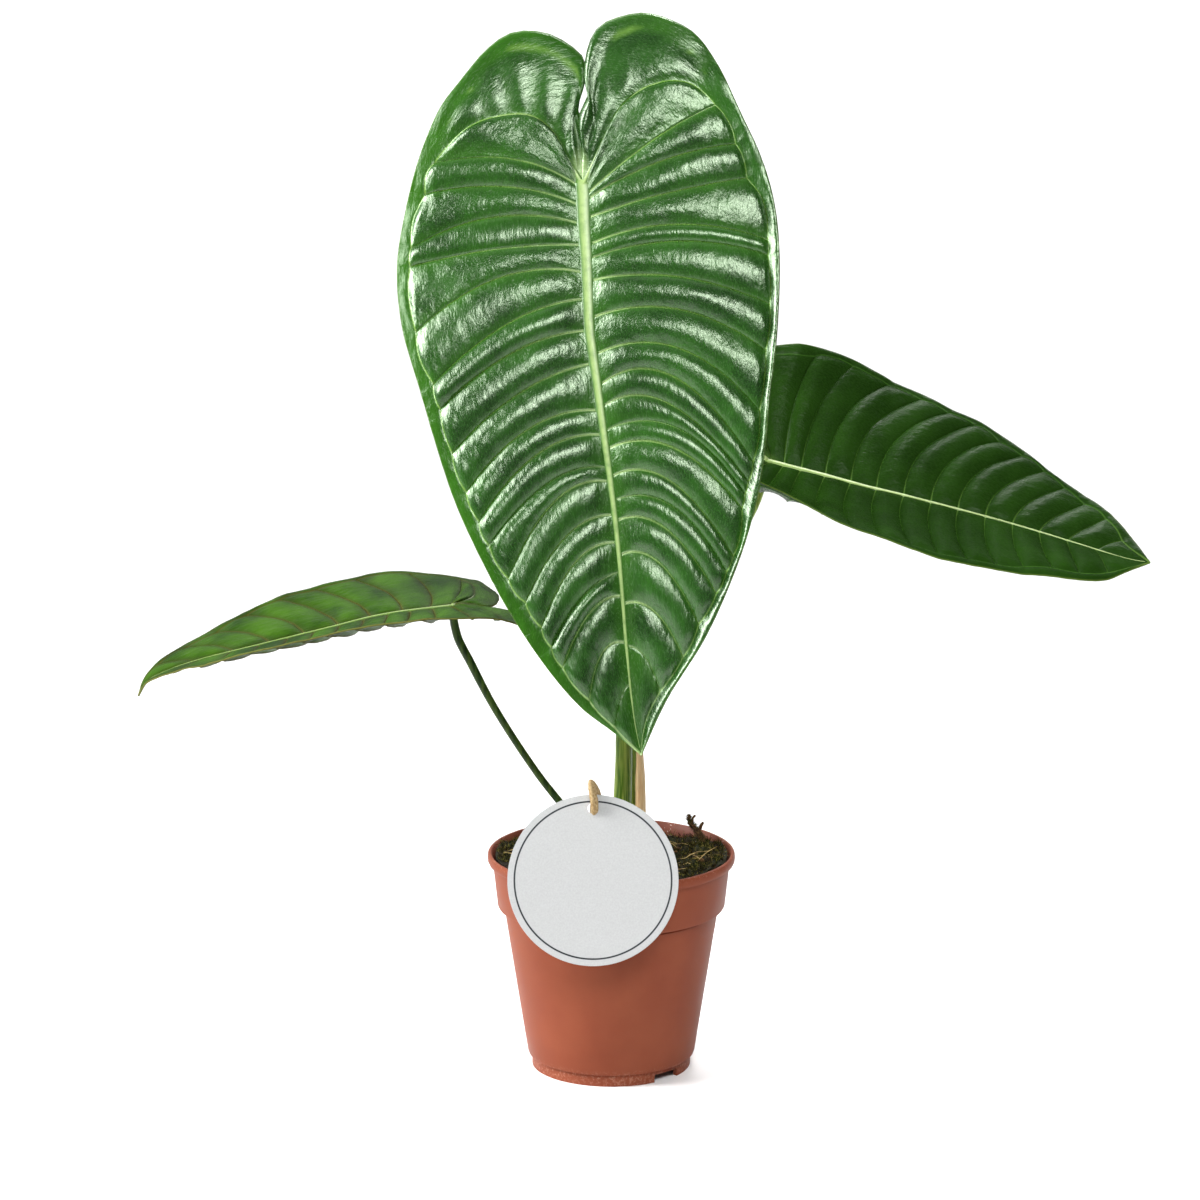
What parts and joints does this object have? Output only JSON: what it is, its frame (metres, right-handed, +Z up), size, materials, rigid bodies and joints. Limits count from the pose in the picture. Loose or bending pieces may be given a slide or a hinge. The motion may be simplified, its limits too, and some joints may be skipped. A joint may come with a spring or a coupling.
{
  "type": "potted flamingo flower plant",
  "caption": "Potted aroid house plant out of bloom: quilted heart-shaped leaves on stalks in a moss-topped nursery pot, with a round tie-on card.",
  "frame": {"origin": "on the pot's axis, in the plane of its foot, at the middle of the boss under its floor", "axes": "+Z up along the pot's axis, -Y towards the front where the card leans, +X to the right of it"},
  "size_m": [0.4853, 0.1408, 0.5085],
  "materials": {
    "pot_plastic": "satin",
    "soil": "rough",
    "dry_sheath": "papery",
    "stalk": "satin",
    "large_leaf": "glossy",
    "left_leaf": "satin",
    "right_leaf": "satin",
    "twig": "rough",
    "card": "matt",
    "twine": "fibrous"
  },
  "bodies": {
    "root": {"pot": "pot_plastic", "soil": "soil", "crown": "dry_sheath", "leaf_large_petiole": "stalk", "leaf_large_blade": "large_leaf", "leaf_left_petiole": "stalk", "leaf_left_blade": "left_leaf", "leaf_right_petiole": "stalk", "leaf_right_blade": "right_leaf", "cataphyll": "dry_sheath", "twig": "twig", "tag": "card", "tie": "twine"}
  },
  "joints": []
}
